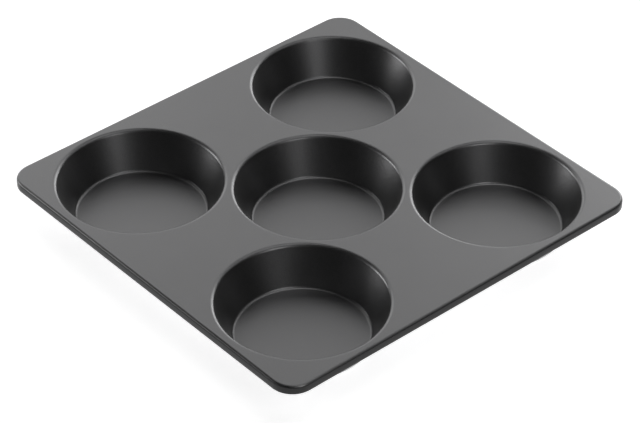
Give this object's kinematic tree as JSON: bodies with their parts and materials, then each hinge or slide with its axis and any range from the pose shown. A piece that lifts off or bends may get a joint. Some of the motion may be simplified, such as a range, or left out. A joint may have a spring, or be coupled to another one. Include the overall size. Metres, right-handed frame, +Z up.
{
  "type": "multi-well baking tray",
  "caption": "Near-square pressed baking and frying tray with round tapered wells, a turned-down edge and a non-stick cooking side.",
  "frame": {"origin": "middle of the plane that the undersides of the wells stand on", "axes": "+X along the tray's longer side, +Y along its shorter side, +Z up out of the wells"},
  "size_m": [0.3324, 0.3254, 0.0316],
  "materials": {
    "sheet_aluminium": "bare rolled sheet, satin, faintly brushed along its length",
    "nonstick": "dark grey baked non-stick coating, smooth with a fine orange peel, semi-gloss"
  },
  "bodies": {
    "root": {"tray_pressing": "sheet_aluminium", "nonstick_coating": "nonstick"}
  },
  "joints": []
}
